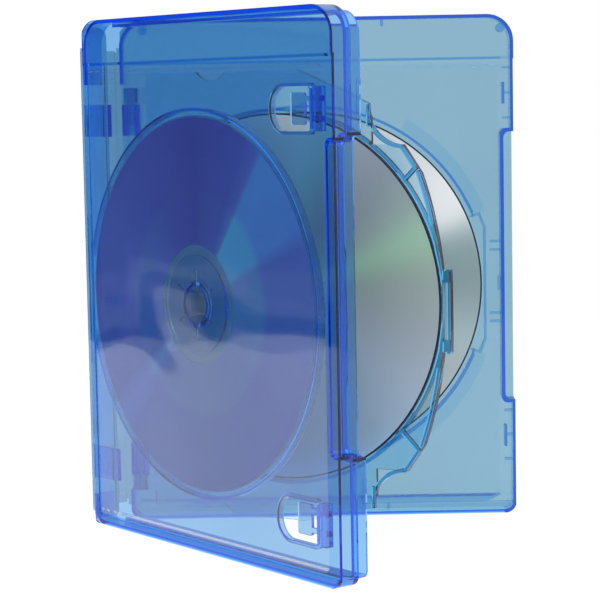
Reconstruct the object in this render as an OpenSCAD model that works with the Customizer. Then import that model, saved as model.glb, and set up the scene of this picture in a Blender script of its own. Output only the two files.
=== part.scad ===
// Slim three disc case in clear blue plastic, standing partly open.
// Z is up, X runs from the spine to the free edge of the back cover, and the inside of that cover faces -Y.
// Covers, spine and tray are drawn flat, as x along the case, y as height and z as depth, and then stood up.

/* [Case] */
// Length of a cover from its hinge to its free edge
case_w = 135; // [132:0.5:140]
// Height of the case
case_h = 171.5; // [169:0.5:176]
// Thickness of the closed case, which is the width of the spine
case_t = 15; // [15:0.5:18]
// Thickness of a moulded wall
wall = 1.2; // [1:0.1:1.4]
// Depth of each cover's outer wall
rim_d = 7.45; // [7:0.05:7.45]
// Radius of the top corners
top_r = 9; // [7:0.5:10]
// Radius of the bottom corners
low_r = 4; // [3:0.5:5]

/* [Opening] */
// How far the spine stands open from the closed case, in degrees
spine_open = 52; // [0:1:90]
// How far the front cover stands open from the spine, in degrees
cover_open = 0; // [0:1:90]
// Share of the spine's angle that the tray swings through
tray_share = 0.62; // [0.5:0.01:0.7]

/* [Sleeve pocket] */
// Depth of the recess that the insert and its film lie in
sleeve_d = 0.5; // [0.4:0.05:0.6]
// Height of the bare band above the recess
band_top = 15.1; // [12:0.1:18]
// Height of the bare band below the recess
band_low = 2.9; // [2.5:0.1:4]
// Thickness of the outer film
film_t = 0.2; // [0.1:0.05:0.2]

/* [Thumb notch] */
// Height of the notch in the free edge
notch_h = 92; // [60:1:100]
// How far the wall steps back in the notch
notch_d = 3.6; // [3:0.1:4]

/* [Discs] */
// Diameter of a disc
disc_dia = 120;
// Thickness of a disc
disc_t = 1.2;
// Diameter of the hole in a disc
disc_hole = 15;
// Distance from the hinge to the middle of the discs in the covers
disc_x = 64; // [63.6:0.1:64.4]
// Diameter of the raised seat round a hub
seat_dia = 32; // [28:1:34]

/* [Tray] */
// Distance of the tray's pivot from the hinge
pivot_x = 5.5; // [5.4:0.1:5.6]
// Depth of the tray's pivot from the back cover's outer face
pivot_d = 5.75; // [5.7:0.05:5.8]
// Thickness of the tray's plate
plate_t = 1.1; // [1:0.05:1.1]
// Diameter of the tray's pivot pins
pin_dia = 2.9; // [2.85:0.01:2.93]

/* [Hidden] */
$fn = 64;
eps = 0.01;
clip_blue = [0.35, 0.62, 0.85, 0.6];
tray_blue = [0.5, 0.75, 0.9, 0.6];
disc_silver = [0.75, 0.77, 0.8];
film_clear = [0.9, 0.95, 1, 0.3];

// Levels of the sleeve pocket, and the height that the discs are centred on
sleeve_z0 = band_low;
sleeve_z1 = case_h - band_top;
disc_z = (sleeve_z0 + sleeve_z1) / 2;
mid_z = case_h / 2;
notch_z0 = mid_z - notch_h / 2;
notch_z1 = mid_z + notch_h / 2;

// Depths, each from the outer face of its own cover
floor_d = sleeve_d + wall;
seat_d = floor_d + 0.5;
low_rib_d = floor_d + 1.05;

// The nesting flange of the front cover, which slides inside the wall of the back cover
flange_in = wall + 0.3;
flange_t = 1;
flange_d = 12;
flange_start = 12;
ledge_d = rim_d - wall;

// Living hinges, thin webs that stop just short of the hinge line
web_t = 0.35;
web_gap = 0.4;
cover_web = 1.8;
spine_web_back = 4.3;
spine_web_front = 1;
hinge_in = 2;
return_top = 150;
return_low = 10;

// Disc wells
disc_r = disc_dia / 2;
ring_in = disc_r + 1.4;
ring_t = 0.9;
ring_d = 4.2;
well_edge = 61.5;
well_flat = 19.3;
well_open = 24.5;

// Hubs
barrel_r = disc_hole / 2 - 0.2;
lip_r = disc_hole / 2 + 0.25;
hub_bore = barrel_r - 1.1;
hub_h = 2.8;
slit = 0.55;

// Catches and small ribs at the free edge of the back cover
latch_z = [26.6, case_h - 26.6];
latch_l = 7.4;
tick_z = [18, 35.1, case_h - 35.1, case_h - 18];
grip_z = [-13.3, -10.4, 11.5, 14.4];

// Booklet clips of the front cover
clip_z = 61.7;
clip_x0 = 104.6;
clip_x1 = 124;
clip_h = 13.2;
tongue_x = 111.2;
tongue_l = 6.6;
tongue_h = 9.6;

// Tray outline, with heights counted from the middle of the tray, which is lower than its disc's
tray_disc_r = disc_x - pivot_x + 0.5;
tray_drop = 2.3;
tray_mid = disc_z - tray_drop;
tray_top = 74;
tray_shoulder = 67;
tray_tab_x = 94;
tray_tab_z = 64.7;
cut_r = 13;
cut_x = 106.2;
tray_tip_x = 105.6;
tray_tip_z = cut_r + 39;
tray_bend = [5.4, 7.6];
edge_r = 122;
edge_x = 119.8;
handle_x = 122;
handle_h = 25.5;
rib_t = 1.2;
rib_in = 0.1;
socket_z = 58.3;
socket_h = 10.6;
socket_w = 6;
ear_h = 5.2;
ear_r = 2.6;
pin_l = 7.5;
pin_slack = 0.05;
side = [-1, 1];

// Rectangle with its own radius at each corner, from the lower left anticlockwise
module round_rect(x0, y0, x1, y1, r) {
    corners = [[x0, y0, 0, 0, r[0]], [x1, y0, 1, 0, r[1]], [x1, y1, 1, 1, r[2]], [x0, y1, 0, 1, r[3]]];
    difference() {
        translate([x0, y0]) square([x1 - x0, y1 - y0]);
        for (c = corners) if (c[4] > 0) difference() {
            translate([c[0] - c[2] * c[4] - (1 - c[2]) * eps, c[1] - c[3] * c[4] - (1 - c[3]) * eps])
                square(c[4] + eps);
            translate([c[0] + (1 - 2 * c[2]) * c[4], c[1] + (1 - 2 * c[3]) * c[4]]) circle(c[4]);
        }
    }
}

// Slab between two depths
module slab(d0, d1) {
    translate([0, 0, d0]) linear_extrude(d1 - d0) children();
}

// Box from one corner to the other
module span(a, b) {
    translate(a) cube(b - a);
}

// Outline of a cover, and the line that its wall follows, both moved in by i
module cover_outline(i = 0) {
    round_rect(i, i, case_w - i, case_h - i, [low_r, low_r, top_r, top_r] - [i, i, i, i]);
}
module wall_line(i) {
    corner = 2;
    difference() {
        round_rect(hinge_in + i, i, case_w - i, case_h - i, [low_r, low_r, top_r, top_r] - [i, i, i, i]);
        round_rect(case_w - notch_d - i, notch_z0 - i, case_w + top_r, notch_z1 + i, [corner, 0, 0, corner]);
    }
}
module wall_band(i0, i1) {
    difference() {
        wall_line(i0);
        wall_line(i1);
    }
}

// Panel, wall and sleeve recess that both covers share
module cover_shell() {
    difference() {
        union() {
            slab(0, wall) intersection() {
                cover_outline();
                translate([cover_web, 0]) square([case_w, case_h]);
            }
            slab(0, web_t) translate([web_gap, low_r]) square([cover_web, case_h - low_r - top_r]);
            slab(wall - eps, floor_d) round_rect(hinge_in + 1, 1, case_w - 0.5, sleeve_z1 + 1, [2, 2, 0, 0]);
            slab(0, rim_d) difference() {
                wall_band(0, wall);
                translate([0, return_low]) square([top_r, return_top - return_low]);
            }
            span([4, sleeve_z1, 0], [case_w - 4, sleeve_z1 + 0.8, low_rib_d]);
        }
        sleeve_recess(hinge_in + 2.5, case_w + 1);
        span([case_w - 0.2, sleeve_z0, -1], [case_w + 1, sleeve_z1, rim_d + 1]);
    }
}

// Recess for the film, with the two low ridges that it is welded to
module sleeve_recess(x0, x1) {
    weld_z = [4.8, sleeve_z1 - 2.9];
    span([x0, sleeve_z0, -1], [x1, sleeve_z1, sleeve_d - 0.1]);
    for (z = [[sleeve_z0, weld_z[0]], [weld_z[0] + 1, weld_z[1]], [weld_z[1] + 1, sleeve_z1]])
        span([x0, z[0], -1], [x1, z[1], sleeve_d]);
}

// Hub that a disc snaps onto, standing on a floor at depth d0, with its press slits
module hub(d0) {
    seat = d0 + 0.5;
    top = d0 + hub_h;
    hold = seat + disc_t + 0.15;
    difference() {
        rotate_extrude() polygon([
            [0, d0 - 0.2], [0, top], [barrel_r - 0.7, top], [lip_r, top - 0.5], [lip_r, hold + 0.15],
            [barrel_r, hold], [barrel_r, seat], [seat_dia / 2, seat], [seat_dia / 2, d0 - 0.2]]);
        translate([0, 0, d0 - 1]) linear_extrude(hub_h + 2) hub_slits();
    }
}
module hub_slits() {
    bow = 18;
    near = 2.8;
    for (s = side) {
        intersection() {
            translate([0, s * (bow + near)]) difference() {
                circle(bow, $fn = 128);
                circle(bow - slit, $fn = 128);
            }
            square([19, 13], center = true);
        }
        translate([-slit / 2, s > 0 ? 5.4 : -10.7]) square([slit, 5.3]);
    }
}
module hub_well(d0) {
    translate([0, 0, -1]) cylinder(r = hub_bore, h = 1 + d0 + hub_h - wall);
}

// Low round wall that keeps a disc in its well
module disc_ring(cx, x0, x1, d1) {
    slab(floor_d - 0.2, d1) intersection() {
        translate([cx, disc_z]) difference() {
            circle(ring_in + ring_t, $fn = 128);
            circle(ring_in, $fn = 128);
        }
        translate([x0, 0]) square([x1 - x0, case_h]);
    }
}

// Ribs and straight edge that open the back cover's well beside the thumb notch
module well_grip() {
    rib = 0.8;
    edge = disc_x + well_edge;
    slab(floor_d - 0.2, low_rib_d + 0.2) translate([0, disc_z]) difference() {
        polygon([[edge - 1.9, -well_open], [edge, -well_flat], [edge, well_flat], [edge - 1.9, well_open],
                 [edge - 5.4, well_open - 1.3], [edge - 5.4, 1.3 - well_open]]);
        polygon([[edge - 2.6, 1 - well_open], [edge - rib, -well_flat], [edge - rib, well_flat],
                 [edge - 2.6, well_open - 1], [edge - 8, well_open - 2.6], [edge - 8, 2.6 - well_open]]);
    }
    wall_x = case_w - notch_d - wall;
    for (z = grip_z)
        span([edge + 1.4, disc_z + z - 0.4, floor_d - 0.2], [wall_x + 0.5, disc_z + z + 0.4, low_rib_d]);
    span([wall_x - 0.7, disc_z - 2.5, floor_d - 0.2], [wall_x + 0.5, disc_z + 2.5, low_rib_d]);
}

// Raised crescents outside the well, above and below the thumb notch
module well_crescents() {
    for (s = side) slab(floor_d - 0.2, floor_d + 0.3) translate([disc_x, disc_z]) intersection() {
        difference() {
            translate([1.6, s * 2]) circle(64.2, $fn = 128);
            circle(ring_in + 0.3, $fn = 128);
        }
        polygon([[0, 0], [80, s * 33], [80, s * 130]]);
    }
}

// Catch bars with their links, small ribs and corner gussets
module catches() {
    bar_x = case_w - flange_in - flange_t - 1.25;
    for (z = latch_z) {
        span([bar_x, z - latch_l / 2, floor_d - 0.2], [bar_x + 0.9, z + latch_l / 2, floor_d + 3.2]);
        span([bar_x, z - 0.5, floor_d - 0.2], [case_w - wall + eps, z + 0.5, low_rib_d]);
    }
    for (z = tick_z) span([bar_x + 0.3, z - 0.4, floor_d - 0.2], [case_w - wall + eps, z + 0.4, low_rib_d]);
    for (z = [[wall, 3.3], [case_h - 3.3, case_h - wall]])
        span([90.2, z[0] - eps, wall - eps], [91.2, z[1] + eps, low_rib_d]);
    for (x = [top_r + 0.6, case_w - 4]) translate([x, case_h - (x < top_r + 1 ? 3.4 : 4.6), wall - eps])
        cylinder(r = 1.5, h = low_rib_d - wall);
}

// Snap sockets that the tray's pins turn in
module sockets() {
    bore = pin_dia / 2 + pin_slack;
    mouth = pin_dia - 0.5;
    for (s = side) translate([pivot_x, disc_z + s * socket_z, 0]) difference() {
        span([-socket_w / 2, -socket_h / 2, floor_d - 0.3], [socket_w / 2, socket_h / 2, pivot_d + 2.7]);
        translate([0, socket_h, pivot_d]) rotate([90, 0, 0]) cylinder(r = bore, h = 2 * socket_h);
        span([-mouth / 2, -socket_h, pivot_d], [mouth / 2, socket_h, pivot_d + 4]);
    }
}

module back_shape() {
    difference() {
        union() {
            cover_shell();
            disc_ring(disc_x, 9.2, disc_x + well_edge - 4.4, ring_d);
            well_grip();
            well_crescents();
            catches();
            sockets();
            slab(wall, low_rib_d) polygon([[20, 3.1], [125, 3.1], [130, 5.6], [20, 5.6]]);
            translate([disc_x, disc_z, 0]) hub(floor_d);
        }
        translate([disc_x, disc_z, 0]) hub_well(floor_d);
    }
}

// Window with a raised frame, and the tongue that holds a booklet
module clip_outline(i) {
    r = clip_h / 2 + i;
    round_rect(clip_x0 - i, -r, clip_x1 + i, r, [r - 0.6, 1 + i, 1 + i, r - 0.6]);
}
module booklet_clip() {
    raise_d = floor_d + 1.3;
    slab(floor_d - 0.2, raise_d) clip_outline(1);
    span([clip_x1 + 0.5, -clip_h / 2, floor_d - 0.2], [clip_x1 + 3.6, clip_h / 2, raise_d + 1.4]);
}
module clip_tongue() {
    d0 = floor_d + 1.7;
    d1 = d0 + 1;
    arm_h = 1.6;
    x1 = tongue_x + tongue_l;
    slab(d0, d1) round_rect(tongue_x, -tongue_h / 2, x1, tongue_h / 2, [0.8, 0.8, 0.8, 0.8]);
    for (s = side) span([x1 - 1, s * 3 - arm_h / 2, d0], [clip_x1 + 1, s * 3 + arm_h / 2, d1]);
}

// Nesting flange, its ledge and its two snap beads
module flange() {
    slab(ledge_d, rim_d) difference() {
        wall_band(0.3, flange_in + flange_t);
        square([flange_start, case_h]);
    }
    slab(ledge_d, flange_d) difference() {
        wall_band(flange_in, flange_in + flange_t);
        square([flange_start, case_h]);
    }
    for (z = latch_z) span([case_w - flange_in - flange_t, z - 5, flange_d - 1.5],
                           [case_w - flange_in + 0.2, z + 5, flange_d]);
}

module front_shape() {
    difference() {
        union() {
            cover_shell();
            flange();
            disc_ring(disc_x - 0.5, hinge_in + 1.4, case_w, ring_d);
            for (s = side) {
                span([hinge_in + 0.2, disc_z + s * socket_z - 5.3, floor_d - 0.4],
                     [14.8, disc_z + s * socket_z + 5.3, floor_d + 1.5]);
                translate([0, disc_z + s * clip_z, 0]) booklet_clip();
            }
            translate([disc_x - 0.5, disc_z, 0]) hub(floor_d);
        }
        translate([disc_x - 0.5, disc_z, 0]) hub_well(floor_d);
        for (s = side) translate([0, disc_z + s * clip_z, -1]) linear_extrude(floor_d + 3) clip_outline(0);
    }
    for (s = side) translate([0, disc_z + s * clip_z, 0]) clip_tongue();
}

// Spine, thin at both hinges and recessed for the film between the bands
module spine_shape() {
    end = 0.8;
    x0 = spine_web_back;
    x1 = case_t - spine_web_front;
    difference() {
        union() {
            slab(0, wall) round_rect(x0, end, x1, case_h - end, [2, 2, 4, 5]);
            slab(wall / 2, floor_d) round_rect(x0 + 0.3, end + 1, x1 - 0.3, sleeve_z1 + 1, [1, 1, 0, 0]);
            slab(0, web_t) translate([web_gap, low_r + 1])
                square([case_t - 2 * web_gap, case_h - low_r - top_r - 2]);
        }
        sleeve_recess(x0 + 0.8, x1 - 0.8);
    }
}

// Outline of one half of the tray, with its long edge at height top
module tray_half(top) {
    inner_x = 5.4;
    difference() {
        union() {
            translate([inner_x, -eps]) square([tray_tab_x - inner_x, tray_tab_z + eps]);
            polygon([[inner_x + 1.2, tray_tab_z - 1], [inner_x + 1.2, top], [tray_shoulder, top],
                     [tray_tab_x, tray_tab_z], [tray_tab_x, tray_tab_z - 1]]);
            translate([tray_tab_x - 1, -eps]) square([tray_tip_x + 1 - tray_tab_x, tray_tip_z]);
            intersection() {
                translate([edge_x - edge_r, 0]) circle(edge_r, $fn = 256);
                polygon([[tray_tab_x, -eps], [130, -eps], [130, 20],
                         [tray_tip_x + tray_bend[0], tray_tip_z - tray_bend[1]],
                         [tray_tip_x, tray_tip_z], [tray_tab_x, tray_tip_z]]);
            }
        }
        translate([cut_x, tray_tip_z + cut_r]) circle(cut_r);
        translate([cut_x, tray_tip_z]) square([20, cut_r]);
        translate([33, top + 4]) circle(7);
    }
}
module tray_outline() {
    translate([0, tray_mid]) {
        tray_half(tray_top + tray_drop);
        mirror([0, 1]) tray_half(tray_top - tray_drop);
    }
}

// Straight rib between two points of the tray's drawing
module strut(a, b) {
    run = b - a;
    translate(a) rotate(atan2(run[1], run[0])) translate([0, -rib_t / 2]) square([norm(run), rib_t]);
}

// Ribs that stiffen the tray outside its disc, out to the handle
module tray_ribs() {
    bend = [tray_tip_x + tray_bend[0], tray_tip_z - tray_bend[1]];
    difference() {
        union() {
            translate([0, tray_mid]) intersection() {
                translate([edge_x - edge_r - rib_in, 0]) difference() {
                    circle(edge_r, $fn = 256);
                    translate([-rib_t, 0]) circle(edge_r, $fn = 256);
                }
                polygon([[60, 0], [130, -60], [130, 60]]);
            }
            intersection() {
                translate([tray_disc_r, disc_z]) difference() {
                    circle(disc_r + 1.6, $fn = 128);
                    circle(disc_r + 0.6, $fn = 128);
                }
                tray_outline();
            }
            for (s = side) translate([0, tray_mid]) mirror([0, s > 0 ? 0 : 1]) {
                strut([tray_tip_x - 1.5, bend[1] - 5.6], bend + [-0.6, 0.6]);
                strut([tray_tip_x - 0.4, tray_tip_z - 0.4], bend + [-0.4, -0.2]);
                strut([tray_tab_x - 0.5, tray_tab_z - 7], [tray_tab_x - 0.5, tray_tab_z]);
                intersection() {
                    translate([cut_x, tray_tip_z + cut_r]) difference() {
                        circle(cut_r + rib_t);
                        circle(cut_r - eps);
                    }
                    translate([tray_tab_x - 1, tray_tip_z - 2])
                        square([tray_tip_x - tray_tab_x + 1, cut_r - 2]);
                }
            }
        }
        translate([tray_disc_r, disc_z]) circle(disc_r + 0.35, $fn = 128);
    }
}

// Ears above and below the sockets, each with its pin
module tray_ears(d0, d1) {
    z0 = socket_z + socket_h / 2 + 0.3;
    for (s = side) translate([0, disc_z, 0]) {
        translate([0, s * (z0 + ear_h / 2), 0]) rotate([90, 0, 0])
            cylinder(r = ear_r, h = ear_h, center = true);
        span([0, s > 0 ? z0 : -z0 - ear_h, d0], [9, s > 0 ? z0 + ear_h : -z0, d1]);
        translate([0, s * (z0 - pin_l / 2 + 0.5), 0]) rotate([90, 0, 0])
            cylinder(d = pin_dia, h = pin_l + 1, center = true);
    }
}

module tray_shape() {
    d0 = -plate_t / 2;
    d1 = plate_t / 2;
    rib_d = d1 + 1.5;
    difference() {
        union() {
            slab(d0, d1) difference() {
                tray_outline();
                for (s = side) translate([-1, disc_z + s * socket_z - socket_h / 2 - 0.4])
                    square([7.2, socket_h + 0.7]);
            }
            slab(d1 - 0.1, rib_d) tray_ribs();
            tray_ears(d0, d1);
            slab(d0, d1) translate([tray_tip_x, tray_mid - handle_h / 2])
                square([handle_x - tray_tip_x, handle_h]);
            span([handle_x - 2.6, tray_mid - handle_h / 2, d0], [handle_x, tray_mid + handle_h / 2, rib_d]);
            for (s = side) span([tray_disc_r + disc_r + 1.2, tray_mid + s * handle_h / 2 - 0.5, d0],
                                [handle_x - 0.2, tray_mid + s * handle_h / 2 + 0.5, rib_d - 0.1]);
            translate([tray_disc_r, disc_z, 0]) hub(d1 - 0.1);
        }
        translate([tray_disc_r, disc_z, d0]) hub_well(plate_t - 0.1);
        translate([tray_disc_r + disc_r + 0.4, tray_mid - 9, d1]) cube([1.6, 18, 3]);
    }
}

// Disc with its hole, stacking ring and clamping step
module disc_shape() {
    ridge_r = 16.6;
    difference() {
        union() {
            cylinder(d = disc_dia, h = disc_t, $fn = 128);
            translate([0, 0, disc_t - eps]) difference() {
                cylinder(r = ridge_r + 0.5, h = 0.2);
                translate([0, 0, -1]) cylinder(r = ridge_r, h = 2);
            }
        }
        translate([0, 0, -1]) cylinder(d = disc_hole, h = disc_t + 2);
        translate([0, 0, disc_t - 0.1]) difference() {
            cylinder(r = 11.2, h = 1);
            translate([0, 0, -1]) cylinder(r = 10.9, h = 3);
        }
    }
}

// Sheet of clear film over one panel
module film_shape(x0, x1, r) {
    slab(sleeve_d - 0.1 - film_t, sleeve_d - 0.1) round_rect(x0, 4, x1, sleeve_z1 - 1.2, r);
}

// Places of the bodies, with the origin under the middle of the back cover's bottom wall
module stand() {
    translate([-case_w / 2, rim_d / 2, 0]) children();
}
module back_place() {
    stand() rotate([90, 0, 0]) children();
}
module spine_place() {
    stand() rotate([0, 0, -spine_open]) mirror([1, 0, 0]) rotate([90, 0, -90]) children();
}
module front_place() {
    stand() rotate([0, 0, -spine_open]) translate([0, -case_t, 0]) rotate([0, 0, -cover_open])
        mirror([0, 1, 0]) rotate([90, 0, 0]) children();
}
module tray_place() {
    stand() translate([pivot_x, -pivot_d, 0]) rotate([0, 0, -spine_open * tray_share])
        rotate([90, 0, 0]) children();
}

module back_cover() { color(clip_blue) back_place() back_shape(); }
module spine() { color(clip_blue) spine_place() spine_shape(); }
module front_cover() { color(clip_blue) front_place() front_shape(); }
module swing_tray() { color(tray_blue) tray_place() tray_shape(); }
module back_disc() { color(disc_silver) back_place() translate([disc_x, disc_z, seat_d]) disc_shape(); }
module tray_disc() {
    color(disc_silver) tray_place() translate([tray_disc_r, disc_z, plate_t / 2 + 0.4]) disc_shape();
}
module front_disc() {
    color(disc_silver) front_place() translate([disc_x - 0.5, disc_z, seat_d]) disc_shape();
}
module back_film() { color(film_clear) back_place() film_shape(5, case_w - 5, [1, 3, 3, 1]); }
module spine_film() { color(film_clear) spine_place() film_shape(5.4, 12.9, [0.5, 0.5, 0.5, 0.5]); }
module front_film() { color(film_clear) front_place() film_shape(5, case_w - 5, [1, 3, 3, 1]); }

back_cover();
spine();
front_cover();
swing_tray();
back_disc();
tray_disc();
front_disc();
back_film();
spine_film();
front_film();
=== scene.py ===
import math

import bmesh
import bpy
from mathutils import Matrix, Vector


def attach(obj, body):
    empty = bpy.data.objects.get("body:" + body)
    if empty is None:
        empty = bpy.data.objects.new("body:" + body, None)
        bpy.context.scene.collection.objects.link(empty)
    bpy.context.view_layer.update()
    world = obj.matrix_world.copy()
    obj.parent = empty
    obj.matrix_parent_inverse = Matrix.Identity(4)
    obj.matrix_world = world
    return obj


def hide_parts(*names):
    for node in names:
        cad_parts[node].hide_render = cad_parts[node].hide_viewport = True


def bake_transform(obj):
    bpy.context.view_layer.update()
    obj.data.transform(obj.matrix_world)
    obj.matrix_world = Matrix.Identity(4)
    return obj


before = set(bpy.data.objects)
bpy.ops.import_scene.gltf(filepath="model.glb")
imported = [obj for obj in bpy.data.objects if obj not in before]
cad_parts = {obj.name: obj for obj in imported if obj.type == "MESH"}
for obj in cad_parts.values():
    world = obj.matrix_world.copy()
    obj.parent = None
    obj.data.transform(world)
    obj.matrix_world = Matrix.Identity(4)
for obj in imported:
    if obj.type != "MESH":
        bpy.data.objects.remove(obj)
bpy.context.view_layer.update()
print("frame loaded")

mm = 0.001
quarterTurn = math.radians(90)

# Light crosses many walls of clear plastic, so it may bounce more often than usual
bounces = {"most": 20, "transmission": 20, "glossy": 20, "transparent": 16}
scene = bpy.context.scene
scene.view_settings.view_transform = "Standard"
scene.cycles.max_bounces = bounces["most"]
scene.cycles.transmission_bounces = bounces["transmission"]
scene.cycles.glossy_bounces = bounces["glossy"]
scene.cycles.transparent_max_bounces = bounces["transparent"]

# Where the moving pieces stand at rest, as the CAD source has them
caseSizes = {
    "width": 135 * mm,
    "depth": 15 * mm,
    "rimDepth": 7.45 * mm,
    "spineOpen": math.radians(52),
    "trayOpen": math.radians(52 * 0.62),  # the tray follows the spine by this share
    "trayPin": Vector((5.5 * mm, -5.75 * mm, 0)),  # from the back hinge
    "discHeight": 79.65 * mm,
}
spineOpen, trayOpen = caseSizes["spineOpen"], caseSizes["trayOpen"]


def turned(angle, along, out):
    # a flat direction of a piece that has turned open by angle: along the case and out of its face
    c, s = math.cos(angle), math.sin(angle)
    return Vector((along * c + out * -s, along * -s + out * -c, 0))


backHinge = Vector((-caseSizes["width"] / 2, caseSizes["rimDepth"] / 2, 0))
frontHinge = backHinge + turned(spineOpen, 0, caseSizes["depth"])
trayPivot = backHinge + caseSizes["trayPin"]
frontTurn, trayTurn = math.pi - spineOpen, -trayOpen


# Camera, solved from the outline of the covers and the discs
cameraView = {
    "place": Vector((-0.00635, -0.700475, 0.14521)),
    "tiltDown": 5.7212,
    "roll": -1.070,
    "lens": 122.46,
    "sensor": 36,
    "nearest": 0.01,
}


def makeCamera():
    view = bpy.data.cameras.new("photo_view")
    view.lens = cameraView["lens"]
    view.sensor_width = cameraView["sensor"]
    view.clip_start = cameraView["nearest"]
    camera = bpy.data.objects.new("photo_view", view)
    scene.collection.objects.link(camera)
    camera.matrix_world = (
        Matrix.Translation(cameraView["place"])
        @ Matrix.Rotation(math.radians(90 - cameraView["tiltDown"]), 4, "X")
        @ Matrix.Rotation(math.radians(cameraView["roll"]), 4, "Z")
    )
    scene.camera = camera


makeCamera()
print("camera placed")


# Small helpers for building node trees
def newMaterial(name):
    material = bpy.data.materials.new(name)
    material.use_nodes = True
    material.node_tree.nodes.clear()
    return material, material.node_tree


def fill(tree, socket, value):
    if isinstance(value, bpy.types.NodeSocket):
        tree.links.new(value, socket)
    else:
        socket.default_value = value


def addNode(tree, kind, inputs=None, settings=None):
    # inputs are keyed by the socket's name, or by its number where two share a name
    node = tree.nodes.new(kind)
    for key, value in (settings or {}).items():
        setattr(node, key, value)
    for key, value in (inputs or {}).items():
        fill(tree, node.inputs[key], value)
    return node


def ramp(tree, value, stops, borders="LINEAR"):
    node = addNode(tree, "ShaderNodeValToRGB", {0: value})
    node.color_ramp.interpolation = borders
    points = node.color_ramp.elements
    while len(points) < len(stops):
        points.new(0.5)
    for point, (place, colour) in zip(points, stops):
        point.position = place
        point.color = (*colour, 1)
    return node.outputs["Color"]


def mixColours(tree, kind, factor, first, second):
    return addNode(tree, "ShaderNodeMix", {0: factor, 6: first, 7: second},
                   {"data_type": "RGBA", "blend_type": kind}).outputs[2]


def mixShaders(tree, factor, first, second):
    return addNode(tree, "ShaderNodeMixShader", {0: factor, 1: first, 2: second}).outputs[0]


def maths(tree, kind, *values):
    return addNode(tree, "ShaderNodeMath", dict(enumerate(values)), {"operation": kind}).outputs[0]


def smoothStep(tree, value, start, end, first=0.0, last=1.0):
    return addNode(tree, "ShaderNodeMapRange", {
        "Value": value, "From Min": start, "From Max": end, "To Min": first, "To Max": last,
    }, {"interpolation_type": "SMOOTHSTEP"}).outputs[0]


def flatPlace(tree, centre, turn):
    # object coordinates laid into the flat of an upright piece, with its height over the flat as Z
    return addNode(tree, "ShaderNodeMapping", {
        "Vector": addNode(tree, "ShaderNodeTexCoord").outputs["Object"],
        "Location": centre,
        "Rotation": (quarterTurn, 0, turn),
    }, {"vector_type": "TEXTURE"}).outputs[0]


def principled(tree, inputs, volume=None):
    shader = addNode(tree, "ShaderNodeBsdfPrincipled", inputs)
    out = addNode(tree, "ShaderNodeOutputMaterial", {"Surface": shader.outputs[0]})
    if volume:
        tree.links.new(volume.outputs[0], out.inputs["Volume"])


# Helper for a new piece: its mesh from a bmesh, at the origin with its place in the mesh
def addPiece(name, shape, materials):
    mesh = bpy.data.meshes.new(name)
    shape.to_mesh(mesh)
    shape.free()
    for material in materials:
        mesh.materials.append(material)
    piece = bpy.data.objects.new(name, mesh)
    scene.collection.objects.link(piece)
    return piece


# Surroundings: white where seen directly, and in reflections a dark side with a lit strip low down
studio = {
    "backdrop": 1.0,
    "darkWay": (-0.97, 0.24, 0.0),
    "darkFrom": 0.80,
    "darkTo": 0.94,
    "low": -0.2,
    "high": 0.2,
    "darkStops": (
        (0.0, 0.60), (0.185, 0.60), (0.195, 0.04), (0.235, 0.04), (0.247, 0.30),
        (0.283, 0.30), (0.295, 0.12), (0.5, 0.08), (1.0, 0.07)),
    "openStops": ((0.0, 0.85), (0.30, 0.60), (0.46, 0.95), (1.0, 0.85)),
}
floorPaper = {"size": 1.14, "shade": 0.9, "glow": 1.06, "glowShare": 0.88}
keyLamp = {"power": 8.0, "size": 0.9, "place": (0.15, -0.75, 1.2), "target": (0, 0, 0.09)}


def seenDirectly(tree, glossy):
    path = addNode(tree, "ShaderNodeLightPath").outputs
    seen = maths(tree, "MAXIMUM", path["Is Camera Ray"], path["Is Transmission Ray"])
    return maths(tree, "MAXIMUM", seen, path["Is Glossy Ray"]) if glossy else seen


def makeWorld():
    world = bpy.data.worlds.new("studio")
    world.use_nodes = True
    scene.world = world
    tree = world.node_tree
    tree.nodes.clear()
    way = addNode(tree, "ShaderNodeTexCoord").outputs["Generated"]
    toDark = addNode(tree, "ShaderNodeVectorMath", {0: way, 1: studio["darkWay"]},
                     {"operation": "DOT_PRODUCT"}).outputs["Value"]
    share = smoothStep(tree, toDark, studio["darkFrom"], studio["darkTo"])
    rise = addNode(tree, "ShaderNodeSeparateXYZ", {"Vector": way}).outputs["Z"]
    height = addNode(tree, "ShaderNodeMapRange", {
        "Value": rise, "From Min": studio["low"], "From Max": studio["high"]}).outputs[0]
    dark, light = (
        ramp(tree, height, [(place, (grey, grey, grey)) for place, grey in studio[side]])
        for side in ("darkStops", "openStops"))
    around = addNode(tree, "ShaderNodeBackground", {
        "Color": mixColours(tree, "MIX", share, light, dark)})
    white = addNode(tree, "ShaderNodeBackground", {
        "Color": (1, 1, 1, 1), "Strength": studio["backdrop"]})
    both = mixShaders(tree, seenDirectly(tree, False), around.outputs[0], white.outputs[0])
    addNode(tree, "ShaderNodeOutputWorld", {"Surface": both})


def makeFloor():
    shape = bmesh.new()
    bmesh.ops.create_grid(shape, x_segments=1, y_segments=1, size=floorPaper["size"] / 2)
    material, tree = newMaterial("white_floor")
    addPiece("floor", shape, (material,))
    shade = floorPaper["shade"]
    paper = addNode(tree, "ShaderNodeBsdfDiffuse", {"Color": (shade, shade, shade, 1)})
    glow = addNode(tree, "ShaderNodeEmission", {
        "Color": (1, 1, 1, 1), "Strength": studio["backdrop"] * floorPaper["glow"]})
    share = maths(tree, "MULTIPLY", seenDirectly(tree, True), floorPaper["glowShare"])
    both = mixShaders(tree, share, paper.outputs[0], glow.outputs[0])
    addNode(tree, "ShaderNodeOutputMaterial", {"Surface": both})


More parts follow.
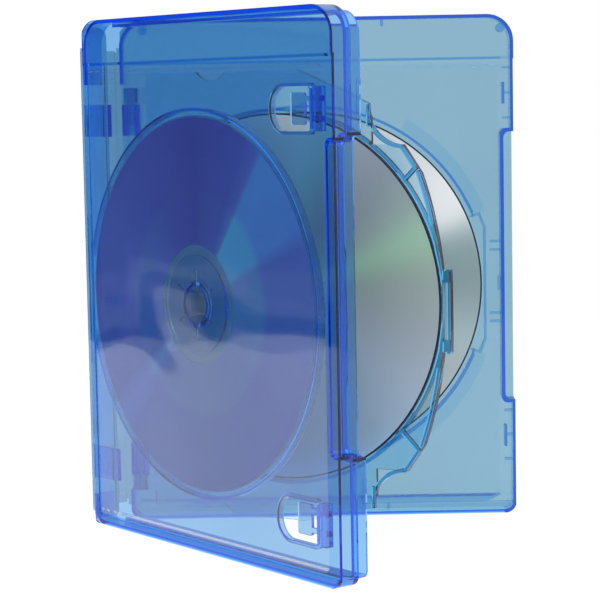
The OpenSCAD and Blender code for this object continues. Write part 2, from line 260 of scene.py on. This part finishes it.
def makeLamp(name, values):
    light = bpy.data.lights.new(name, "AREA")
    light.energy = values["power"]
    light.size = values["size"]
    lamp = bpy.data.objects.new(name, light)
    scene.collection.objects.link(lamp)
    way = Vector(values["target"]) - Vector(values["place"])
    facing = way.to_track_quat("-Z", "Y").to_matrix().to_4x4()
    lamp.matrix_world = Matrix.Translation(values["place"]) @ facing


makeWorld()
makeFloor()
makeLamp("soft_key", keyLamp)
print("studio lit")


# Shared finish: faint flow clouds in the tint and height, and fine scuffs in the gloss
finishValues = {
    "Cloud Scale": 30,
    "Cloud Detail": 0.5,
    "Cloud Share": 0.06,
    "Scuff Scale": 900,
    "Gloss": 0.04,
    "Scuffed": 0.1,
}
scuffs = {"detail": 4.0, "from": 0.5, "to": 0.75}


def makeMouldedFinish():
    group = bpy.data.node_groups.new("moulded_finish", "ShaderNodeTree")
    face = group.interface
    face.new_socket("Tint", in_out="INPUT", socket_type="NodeSocketColor")
    for name, value in finishValues.items():
        socket = face.new_socket(name, in_out="INPUT", socket_type="NodeSocketFloat")
        socket.default_value = value
    face.new_socket("Colour", in_out="OUTPUT", socket_type="NodeSocketColor")
    face.new_socket("Roughness", in_out="OUTPUT", socket_type="NodeSocketFloat")
    face.new_socket("Height", in_out="OUTPUT", socket_type="NodeSocketFloat")
    given = addNode(group, "NodeGroupInput").outputs
    place = addNode(group, "ShaderNodeTexCoord").outputs["Object"]
    cloud = addNode(group, "ShaderNodeTexNoise", {
        "Vector": place, "Scale": given["Cloud Scale"], "Detail": given["Cloud Detail"],
    }).outputs["Fac"]
    scuff = addNode(group, "ShaderNodeTexNoise", {
        "Vector": place, "Scale": given["Scuff Scale"], "Detail": scuffs["detail"],
    }).outputs["Fac"]
    swing = maths(group, "SUBTRACT", cloud, 0.5)
    shade = maths(group, "MULTIPLY_ADD", swing, given["Cloud Share"], 1.0)
    grey = addNode(group, "ShaderNodeCombineColor", {0: shade, 1: shade, 2: shade}).outputs[0]
    worn = addNode(group, "ShaderNodeMapRange", {
        "Value": scuff, "From Min": scuffs["from"], "From Max": scuffs["to"],
        "To Min": given["Gloss"], "To Max": given["Scuffed"],
    }).outputs[0]
    addNode(group, "NodeGroupOutput", {
        "Colour": mixColours(group, "MULTIPLY", 1.0, given["Tint"], grey),
        "Roughness": worn,
        "Height": cloud,
    })
    return group


mouldedFinish = makeMouldedFinish()


def addFinish(tree, tint, **changes):
    finish = addNode(tree, "ShaderNodeGroup", settings={"node_tree": mouldedFinish})
    finish.inputs["Tint"].default_value = (*tint, 1)
    names = {"gloss": "Gloss", "scuffed": "Scuffed", "waves": "Cloud Scale"}
    for key, value in changes.items():
        finish.inputs[names[key]].default_value = value
    return finish.outputs


# Plastics; thick walls and ribs are painted a deeper blue by their height over their piece's flat,
# a painted shade for the long way light takes through them
backPlasticLook = {
    "tint": (0.58, 0.62, 0.60),
    "soaks": (0.0, 0.63, 0.98),
    "density": 730.0,
    "gloss": 0.03,
    "scuffed": 0.09,
    "flat": (backHinge, 0),
    "deepFrom": 4.6 * mm,
    "deepTo": 5.6 * mm,
    "paintedWallShade": (0.50, 0.66, 0.78),
}
# The front cover is the same plastic as the back; its lighter, bluer tint is painted light for the
# veil of reflection on it
frontPlasticLitCopy = {
    "tint": (0.62, 0.73, 0.85),
    "soaks": (0.0, 0.63, 0.98),
    "density": 730.0,
    "gloss": 0.03,
    "scuffed": 0.09,
    "flat": (frontHinge, frontTurn),
    "deepFrom": 4.6 * mm,
    "deepTo": 5.6 * mm,
    "paintedWallShade": (0.56, 0.75, 0.93),
}
trayPlasticLook = {
    "tint": (0.98, 1.0, 1.0),
    "soaks": (0.0, 0.66, 0.92),
    "density": 350.0,
    "gloss": 0.03,
    "scuffed": 0.08,
    "flat": (trayPivot, trayTurn),
    "deepFrom": 0.7 * mm,
    "deepTo": 1.4 * mm,
    "paintedWallShade": (0.10, 0.42, 0.72),
}
plasticBody = {"refraction": 1.49, "waveHeight": 0.6 * mm}


def makePlastic(name, look):
    material, tree = newMaterial(name)
    finish = addFinish(tree, look["tint"], gloss=look["gloss"], scuffed=look["scuffed"])
    ripple = addNode(tree, "ShaderNodeBump", {
        "Height": finish["Height"], "Strength": 1.0, "Distance": plasticBody["waveHeight"]})
    flat = flatPlace(tree, *look["flat"])
    level = addNode(tree, "ShaderNodeSeparateXYZ", {"Vector": flat}).outputs["Z"]
    paintedShadeShare = smoothStep(tree, level, look["deepFrom"], look["deepTo"])
    inside = addNode(tree, "ShaderNodeVolumeAbsorption", {
        "Color": (*look["soaks"], 1), "Density": look["density"]})
    principled(tree, {
        # walls and ribs get the painted shade tint in place of the plain tint
        "Base Color": mixColours(tree, "MIX", paintedShadeShare, finish["Colour"], (*look["paintedWallShade"], 1)),
        "Roughness": finish["Roughness"],
        "Normal": ripple.outputs[0],
        "IOR": plasticBody["refraction"],
        "Transmission Weight": 1.0,
    }, inside)
    return material


# Outer film: a thin wavy mirror that covers by its reflection, seen from outside only
filmLook = {
    "tint": (0.95, 0.98, 1.0),
    "haze": 0.02,
    "shine": 1.2,
    "gloss": 0.04,
    "waves": 20,
    "waveHeight": 2.5 * mm,
    "refraction": 1.5,
}


def makeFilm():
    material, tree = newMaterial("outer_film")
    finish = addFinish(tree, filmLook["tint"], gloss=filmLook["gloss"], waves=filmLook["waves"])
    ripple = addNode(tree, "ShaderNodeBump", {
        "Height": finish["Height"], "Strength": 1.0, "Distance": filmLook["waveHeight"],
    }).outputs[0]
    mirror = addNode(tree, "ShaderNodeFresnel", {
        "IOR": filmLook["refraction"], "Normal": ripple}).outputs[0]
    behind = addNode(tree, "ShaderNodeNewGeometry").outputs["Backfacing"]
    front = maths(tree, "SUBTRACT", 1.0, behind)
    cover = maths(tree, "MULTIPLY_ADD", mirror, filmLook["shine"], filmLook["haze"])
    principled(tree, {
        "Base Color": finish["Colour"],
        "Metallic": 1.0,
        "Roughness": finish["Roughness"],
        "Normal": ripple,
        "Alpha": maths(tree, "MULTIPLY", cover, front),
    })
    return material


def dress(material, *nodes):
    for node in nodes:
        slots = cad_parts[node].data.materials
        slots.clear()
        slots.append(material)


backPlastic = makePlastic("blue_plastic", backPlasticLook)
dress(backPlastic, "back_cover", "spine")
dress(makePlastic("blue_plastic_front", frontPlasticLitCopy), "front_cover")
dress(makePlastic("tray_plastic", trayPlasticLook), "swing_tray")
dress(makeFilm(), "back_film", "spine_film", "front_film")
print("plastic and film dressed")


# Discs: a foil part under clear plastic, and the clear ring round the hole
discSizes = {
    "outer": 60 * mm,
    "foilIn": 19 * mm,
    "hole": 7.5 * mm,
    "thick": 1.2 * mm,
    "chamfer": 0.12 * mm,
    "edgeFrom": 59.45 * mm,  # outside this radius the faces have the edge's material
    "segments": 180,
}
ringRidge = {"middle": 16.8 * mm, "rise": 0.19 * mm, "top": 0.2 * mm, "foot": 0.3 * mm}
ringGroove = {"middle": 11 * mm, "deep": 0.1 * mm, "bottom": 0.1 * mm, "mouth": 0.2 * mm}

# Painted reflections, highlights and rainbow sheen of each disc face, as colours round the disc
# from its far left, with soft or sharp borders
discPaintedSheens = {
    "back_label": {"metal": 0.5, "rough": 0.25, "borders": "B_SPLINE", "stops": (
        (0.00, (0.50, 0.56, 0.58)), (0.30, (0.40, 0.47, 0.50)), (0.42, (0.37, 0.47, 0.50)),
        (0.456, (0.36, 0.51, 0.55)), (0.50, (0.22, 0.32, 0.34)), (0.53, (0.26, 0.39, 0.40)),
        (0.55, (0.32, 0.46, 0.50)), (0.57, (0.95, 1.0, 1.0)), (0.60, (0.95, 0.97, 0.98)),
        (0.64, (0.80, 0.86, 0.88)), (0.75, (0.55, 0.66, 0.68)), (1.00, (0.50, 0.56, 0.58)))},
    "tray_label": {"metal": 0.3, "rough": 0.25, "borders": "B_SPLINE", "stops": (
        (0.00, (0.60, 0.70, 0.75)), (0.20, (0.52, 0.64, 0.74)), (0.36, (0.54, 0.70, 0.84)),
        (0.42, (0.66, 0.74, 0.86)), (0.47, (0.56, 0.60, 0.64)), (0.515, (0.50, 0.58, 0.54)),
        (0.535, (0.50, 0.62, 0.52)), (0.56, (0.56, 0.92, 0.62)), (0.585, (0.50, 0.62, 0.56)),
        (0.63, (0.46, 0.50, 0.56)), (0.67, (0.60, 0.62, 0.66)), (0.70, (0.55, 0.95, 0.85)),
        (0.73, (0.95, 1.0, 1.0)), (1.00, (0.60, 0.70, 0.75)))},
    "front_label": {"metal": 0.5, "rough": 0.25, "borders": "B_SPLINE", "stops": (
        (0.00, (0.45, 0.50, 0.52)), (0.12, (0.36, 0.48, 0.44)), (0.25, (0.50, 0.54, 0.58)),
        (0.42, (0.32, 0.38, 0.44)), (0.58, (0.62, 0.68, 0.70)), (0.66, (0.40, 0.50, 0.46)),
        (0.80, (0.42, 0.46, 0.52)), (1.00, (0.45, 0.50, 0.52)))},
    "data": {"metal": 0.3, "rough": 0.2, "borders": "LINEAR", "stops": (
        (0.00, (0.30, 0.20, 0.46)), (0.10, (0.26, 0.22, 0.48)), (0.36, (0.32, 0.20, 0.50)),
        (0.39, (0.46, 0.40, 0.70)), (0.42, (0.32, 0.20, 0.50)), (0.70, (0.22, 0.14, 0.40)),
        (0.83, (0.26, 0.16, 0.46)), (0.86, (0.42, 0.50, 0.74)), (0.92, (0.52, 0.40, 0.80)),
        (0.94, (0.34, 0.20, 0.50)), (1.00, (0.30, 0.20, 0.46)))},
    "front_data": {"metal": 0.15, "rough": 0.2, "borders": "LINEAR", "stops": (
        (0.00, (0.85, 0.40, 0.75)), (0.10, (0.40, 0.18, 0.62)), (0.25, (0.36, 0.18, 0.52)),
        (0.36, (0.44, 0.19, 0.64)), (0.385, (0.85, 0.42, 0.90)), (0.405, (0.50, 0.18, 0.64)),
        (0.50, (0.90, 0.24, 0.72)), (0.58, (0.90, 0.18, 0.66)), (0.66, (0.66, 0.05, 0.58)),
        (0.75, (0.55, 0.00, 0.48)), (0.825, (0.70, 0.10, 0.60)), (0.845, (0.95, 0.30, 0.72)),
        (0.852, (0.95, 0.85, 1.0)), (0.925, (1.0, 0.78, 1.0)), (0.94, (1.0, 0.36, 0.75)),
        (1.00, (0.85, 0.40, 0.75)))},
}
# Near the hub the painted sheen is multiplied by these, and 1 leaves it as it is; the data side's
# green lift is a painted highlight
hubSheen = {"inner": 33 * mm, "outer": 38 * mm, "label": (1.0, 1.0, 1.0), "data": (1.0, 1.7, 1.0)}
foilCoat = {"grooves": 9000.0, "grooveShare": 0.02, "coatRough": 0.03, "coatRefraction": 1.5}
# Disc rims: the dark edge is painted shade along the rim, and the pale edge of the front disc a
# painted highlight
discEdgeShadeAndHighlight = {
    "dark": {"tint": (0.012, 0.022, 0.05), "gloss": 0.2, "shine": 0.2},
    "pale": {"tint": (0.45, 0.60, 0.75), "gloss": 0.2, "shine": 0.2},
}
clearRingLook = {"tint": (0.95, 1.0, 1.0), "gloss": 0.22, "scuffed": 0.28, "refraction": 1.58,
                 "clear": 0.8}


def makeFoil(name, look, sheen, centre, turn):
    material, tree = newMaterial(name)
    flat = flatPlace(tree, centre, turn)
    wedge = addNode(tree, "ShaderNodeTexGradient", {"Vector": flat},
                    {"gradient_type": "RADIAL"}).outputs["Fac"]
    radius = addNode(tree, "ShaderNodeVectorMath", {0: flat},
                     {"operation": "LENGTH"}).outputs["Value"]
    near = smoothStep(tree, radius, hubSheen["inner"], hubSheen["outer"], 1.0, 0.0)
    # the base colour is painted reflection and highlight, set by the angle round the disc
    paintedSheen = ramp(tree, wedge, look["stops"], look["borders"])
    track = maths(tree, "SINE", maths(tree, "MULTIPLY", radius, foilCoat["grooves"]))
    grooves = addNode(tree, "ShaderNodeMapRange", {
        "Value": track, "From Min": -1.0, "From Max": 1.0,
        "To Min": look["rough"] * (1 - foilCoat["grooveShare"]),
        "To Max": look["rough"] * (1 + foilCoat["grooveShare"]),
    }).outputs[0]
    principled(tree, {
        "Base Color": mixColours(tree, "MULTIPLY", near, paintedSheen, (*sheen, 1)),
        "Metallic": look["metal"],
        "Roughness": grooves,
        "Coat Weight": 1.0,
        "Coat Roughness": foilCoat["coatRough"],
        "Coat IOR": foilCoat["coatRefraction"],
    })
    return material


def makeDiscEdge(name, look):
    material, tree = newMaterial(name)
    finish = addFinish(tree, look["tint"], gloss=look["gloss"])
    principled(tree, {
        "Base Color": finish["Colour"],
        "Roughness": finish["Roughness"],
        "Specular IOR Level": look["shine"],
    })
    return material


def makeClearDisc(look):
    material, tree = newMaterial("disc_clear_ring")
    finish = addFinish(tree, look["tint"], gloss=look["gloss"], scuffed=look["scuffed"])
    principled(tree, {
        "Base Color": finish["Colour"],
        "Roughness": finish["Roughness"],
        "IOR": look["refraction"],
        "Transmission Weight": look["clear"],
    })
    return material


discClear = makeClearDisc(clearRingLook)
paintedDiscEdges = {
    shade: makeDiscEdge("disc_" + shade + "_edge", look) for shade, look in discEdgeShadeAndHighlight.items()}


def lathe(profile):
    # a closed ring from its profile of (radius, height) points
    shape = bmesh.new()
    points = [shape.verts.new((r, 0, z)) for r, z in profile]
    edges = [shape.edges.new((a, b)) for a, b in zip(points, points[1:] + points[:1])]
    bmesh.ops.spin(shape, geom=points + edges, cent=(0, 0, 0), axis=(0, 0, 1), angle=2 * math.pi,
                   steps=discSizes["segments"], use_merge=True)
    bmesh.ops.remove_doubles(shape, verts=shape.verts, dist=1e-7)
    bmesh.ops.recalc_face_normals(shape, faces=shape.faces)
    return shape


def foilRing():
    inner, outer, edgeFrom = discSizes["foilIn"], discSizes["outer"], discSizes["edgeFrom"]
    high, cut = discSizes["thick"], discSizes["chamfer"]
    shape = lathe([
        (inner, 0), (edgeFrom, 0), (outer - cut, 0), (outer, cut),
        (outer, high - cut), (outer - cut, high), (edgeFrom, high), (inner, high)])
    for face in shape.faces:
        if face.calc_center_median().xy.length > edgeFrom:
            face.material_index = 2
        else:
            face.material_index = 1 if face.normal.z < -0.7 else 0  # the data side faces down
    return shape


def clearRing():
    inner, outer = discSizes["hole"], discSizes["foilIn"]
    high, cut = discSizes["thick"], discSizes["chamfer"]
    ridge, top, foot = ringRidge["middle"], ringRidge["top"], ringRidge["foot"]
    crest = high + ringRidge["rise"]
    groove, bottom, mouth = ringGroove["middle"], ringGroove["bottom"], ringGroove["mouth"]
    sunk = high - ringGroove["deep"]
    return lathe([
        (inner, cut), (inner + cut, 0), (outer, 0), (outer, high),
        (ridge + foot, high), (ridge + top, crest), (ridge - top, crest), (ridge - foot, high),
        (groove + mouth, high), (groove + bottom, sunk),
        (groove - bottom, sunk), (groove - mouth, high),
        (inner + cut, high), (inner, high - cut)])


def addDiscPiece(name, shape, place, materials, body, node):
    bmesh.ops.transform(shape, matrix=place, verts=shape.verts)
    piece = addPiece(name, shape, materials)
    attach(piece, body)
    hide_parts(node)


# Seats of the discs: along their own piece from its hinge, and out of its face
discSeats = {
    "back_disc": {
        "body": "back_cover", "hinge": backHinge, "open": 0, "turn": 0,
        "along": 64 * mm, "out": 2.2 * mm, "looks": ("back_label", "data"), "edge": "dark"},
    "tray_disc": {
        "body": "swing_tray", "hinge": trayPivot, "open": trayOpen, "turn": trayTurn,
        "along": 59 * mm, "out": 0.95 * mm, "looks": ("tray_label", "data"), "edge": "dark"},
    "front_disc": {
        "body": "front_cover", "hinge": frontHinge, "open": spineOpen, "turn": frontTurn,
        "along": 63.5 * mm, "out": -2.2 * mm, "looks": ("front_label", "front_data"),
        "edge": "pale"},
}


def makeDisc(node, seat):
    centre = seat["hinge"] + turned(seat["open"], seat["along"], seat["out"])
    centre += Vector((0, 0, caseSizes["discHeight"]))
    turn, body = seat["turn"], seat["body"]
    place = (
        Matrix.Translation(centre)
        @ Matrix.Rotation(turn, 4, "Z")
        @ Matrix.Rotation(quarterTurn, 4, "X")
    )
    label, data = (
        makeFoil(node + "_" + side + "_side", discPaintedSheens[look], hubSheen[side], centre, turn)
        for side, look in zip(("label", "data"), seat["looks"]))
    # the rim gets its seat's edge: painted shade (dark) on the back and tray discs, a painted
    # highlight (pale) on the front disc
    foils = (label, data, paintedDiscEdges[seat["edge"]])
    addDiscPiece(node + "_foil", foilRing(), place, foils, body, node)
    addDiscPiece(node + "_clear_ring", clearRing(), place, (discClear,), body, node)


for node, seat in discSeats.items():
    makeDisc(node, seat)
print("discs made")


# Thin webs of the two living hinges, between the edges of the mouldings
hingeWeb = {"gap": 0.42 * mm, "thick": 0.33 * mm, "low": 6 * mm, "high": 161 * mm}


def makeWeb(name, hinge, alongA, inA, alongB, inB):
    # the strip cuts the corner between both outer faces, and its inner faces meet in a mitre
    gap, thick = hingeWeb["gap"], hingeWeb["thick"]
    startA, startB = hinge + alongA * gap, hinge + alongB * gap
    mitre = hinge + (inA + inB) / (1 + inA.dot(inB)) * thick
    corners = [startA, startB, startB + inB * thick, mitre, startA + inA * thick]
    shape = bmesh.new()
    face = shape.faces.new([shape.verts.new((p.x, p.y, hingeWeb["low"])) for p in corners])
    rise = bmesh.ops.extrude_face_region(shape, geom=[face])["geom"]
    moved = [v for v in rise if isinstance(v, bmesh.types.BMVert)]
    bmesh.ops.translate(shape, verts=moved, vec=(0, 0, hingeWeb["high"] - hingeWeb["low"]))
    bmesh.ops.recalc_face_normals(shape, faces=shape.faces)
    web = addPiece(name, shape, (backPlastic,))
    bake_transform(web)


backAlong, backIn = Vector((1, 0, 0)), Vector((0, -1, 0))
spineAlong, spineIn = turned(spineOpen, 0, 1), turned(spineOpen, 1, 0)
frontAlong, frontIn = spineIn, -spineAlong  # the front cover stands square to the spine
makeWeb("back_hinge_web", backHinge,
        backAlong, backIn, spineAlong, spineIn)
makeWeb("front_hinge_web", frontHinge,
        -spineAlong, spineIn, frontAlong, frontIn)
print("hinge webs made")
